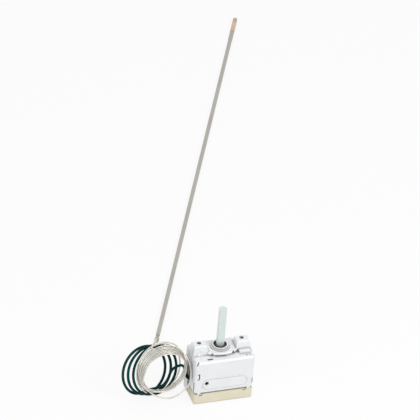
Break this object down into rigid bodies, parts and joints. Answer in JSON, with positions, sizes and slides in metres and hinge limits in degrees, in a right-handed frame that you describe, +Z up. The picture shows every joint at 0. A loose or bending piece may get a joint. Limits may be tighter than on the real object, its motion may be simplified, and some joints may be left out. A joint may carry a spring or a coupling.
{
  "type": "oven temperature control",
  "caption": "Capillary oven temperature control with a drawn zinc-plated case, ceramic base, flatted shaft, green-sleeved capillary coil and long probe",
  "frame": {"origin": "on the shaft's axis, in the plane the ceramic base stands on", "axes": "+Z up along the shaft, -Y front wall with the embossed rib, -X the side the capillary leaves from"},
  "size_m": [0.2265, 0.4511, 0.072],
  "materials": {
    "zinc_sheet": "Bright zinc-plated drawn steel sheet",
    "steatite": "Unglazed steatite ceramic, warm khaki",
    "shaft_alloy": "Turned steel, thin clear passivation",
    "brass_bush": "Turned brass, slightly dull",
    "green_sleeve": "Extruded sleeve, satin dark green",
    "bare_capillary": "Drawn capillary tube, warm grey",
    "probe_steel": "Drawn stainless tube",
    "braze": "Copper-coloured braze ring",
    "spring_brass": "Spring brass strip",
    "tinned_strip": "Tinned terminal strip",
    "silver_contact": "Fine silver contact rivet",
    "capsule_steel": "Stainless diaphragm",
    "white_ceramic": "White ceramic pin",
    "guide_board": "Pressed laminate plate",
    "washer_bronze": "Phosphor-bronze washer"
  },
  "bodies": {
    "case": {"case_shell": "zinc_sheet", "ceramic_base": "steatite", "guide_plate": "guide_board", "bridge": "zinc_sheet", "bearing_bush": "brass_bush", "friction_washer": "washer_bronze", "line_terminal": "tinned_strip", "load_terminal": "tinned_strip", "line_rivet": "brass_bush", "load_rivet": "brass_bush", "fixed_contact": "silver_contact", "sleeve_lead": "green_sleeve", "sleeve_coil": "green_sleeve", "capillary_coil": "bare_capillary", "capillary_tail": "bare_capillary", "probe_ferrule": "probe_steel", "probe_tube": "probe_steel", "probe_tip": "probe_steel", "tip_ring": "braze"},
    "shaft": {"control_shaft": "shaft_alloy", "stop_disc": "capsule_steel"},
    "capsule": {"diaphragm_capsule": "capsule_steel", "capsule_stud": "capsule_steel", "pressure_button": "white_ceramic", "capillary_stub": "bare_capillary"},
    "pin": {"push_pin": "white_ceramic"},
    "blade": {"contact_blade": "spring_brass", "moving_contact": "silver_contact"}
  },
  "joints": [
    {"name": "shaft_turn", "type": "hinge", "parent": "case", "child": "shaft", "pos_m": [0, 0, 0.035], "axis": [0, 0, -1], "range_deg": [0, 270]},
    {"name": "capsule_lift", "type": "slide", "parent": "case", "child": "capsule", "axis": [0, 0, 1], "range_m": [0, 0.00038]},
    {"name": "pin_lift", "type": "slide", "parent": "case", "child": "pin", "axis": [0, 0, 1], "range_m": [0, 0.00038]},
    {"name": "blade_swing", "type": "hinge", "parent": "case", "child": "blade", "pos_m": [-0.011, 0, 0.0086], "axis": [0, -1, 0], "range_deg": [0, 1.96]}
  ],
  "couplings": [
    {"joint": "capsule_lift", "follows": "shaft_turn", "m_per_rad": 0.000079577},
    {"joint": "pin_lift", "follows": "shaft_turn", "m_per_rad": 0.000079577},
    {"joint": "blade_swing", "follows": "shaft_turn", "ratio": 0.0072343}
  ]
}
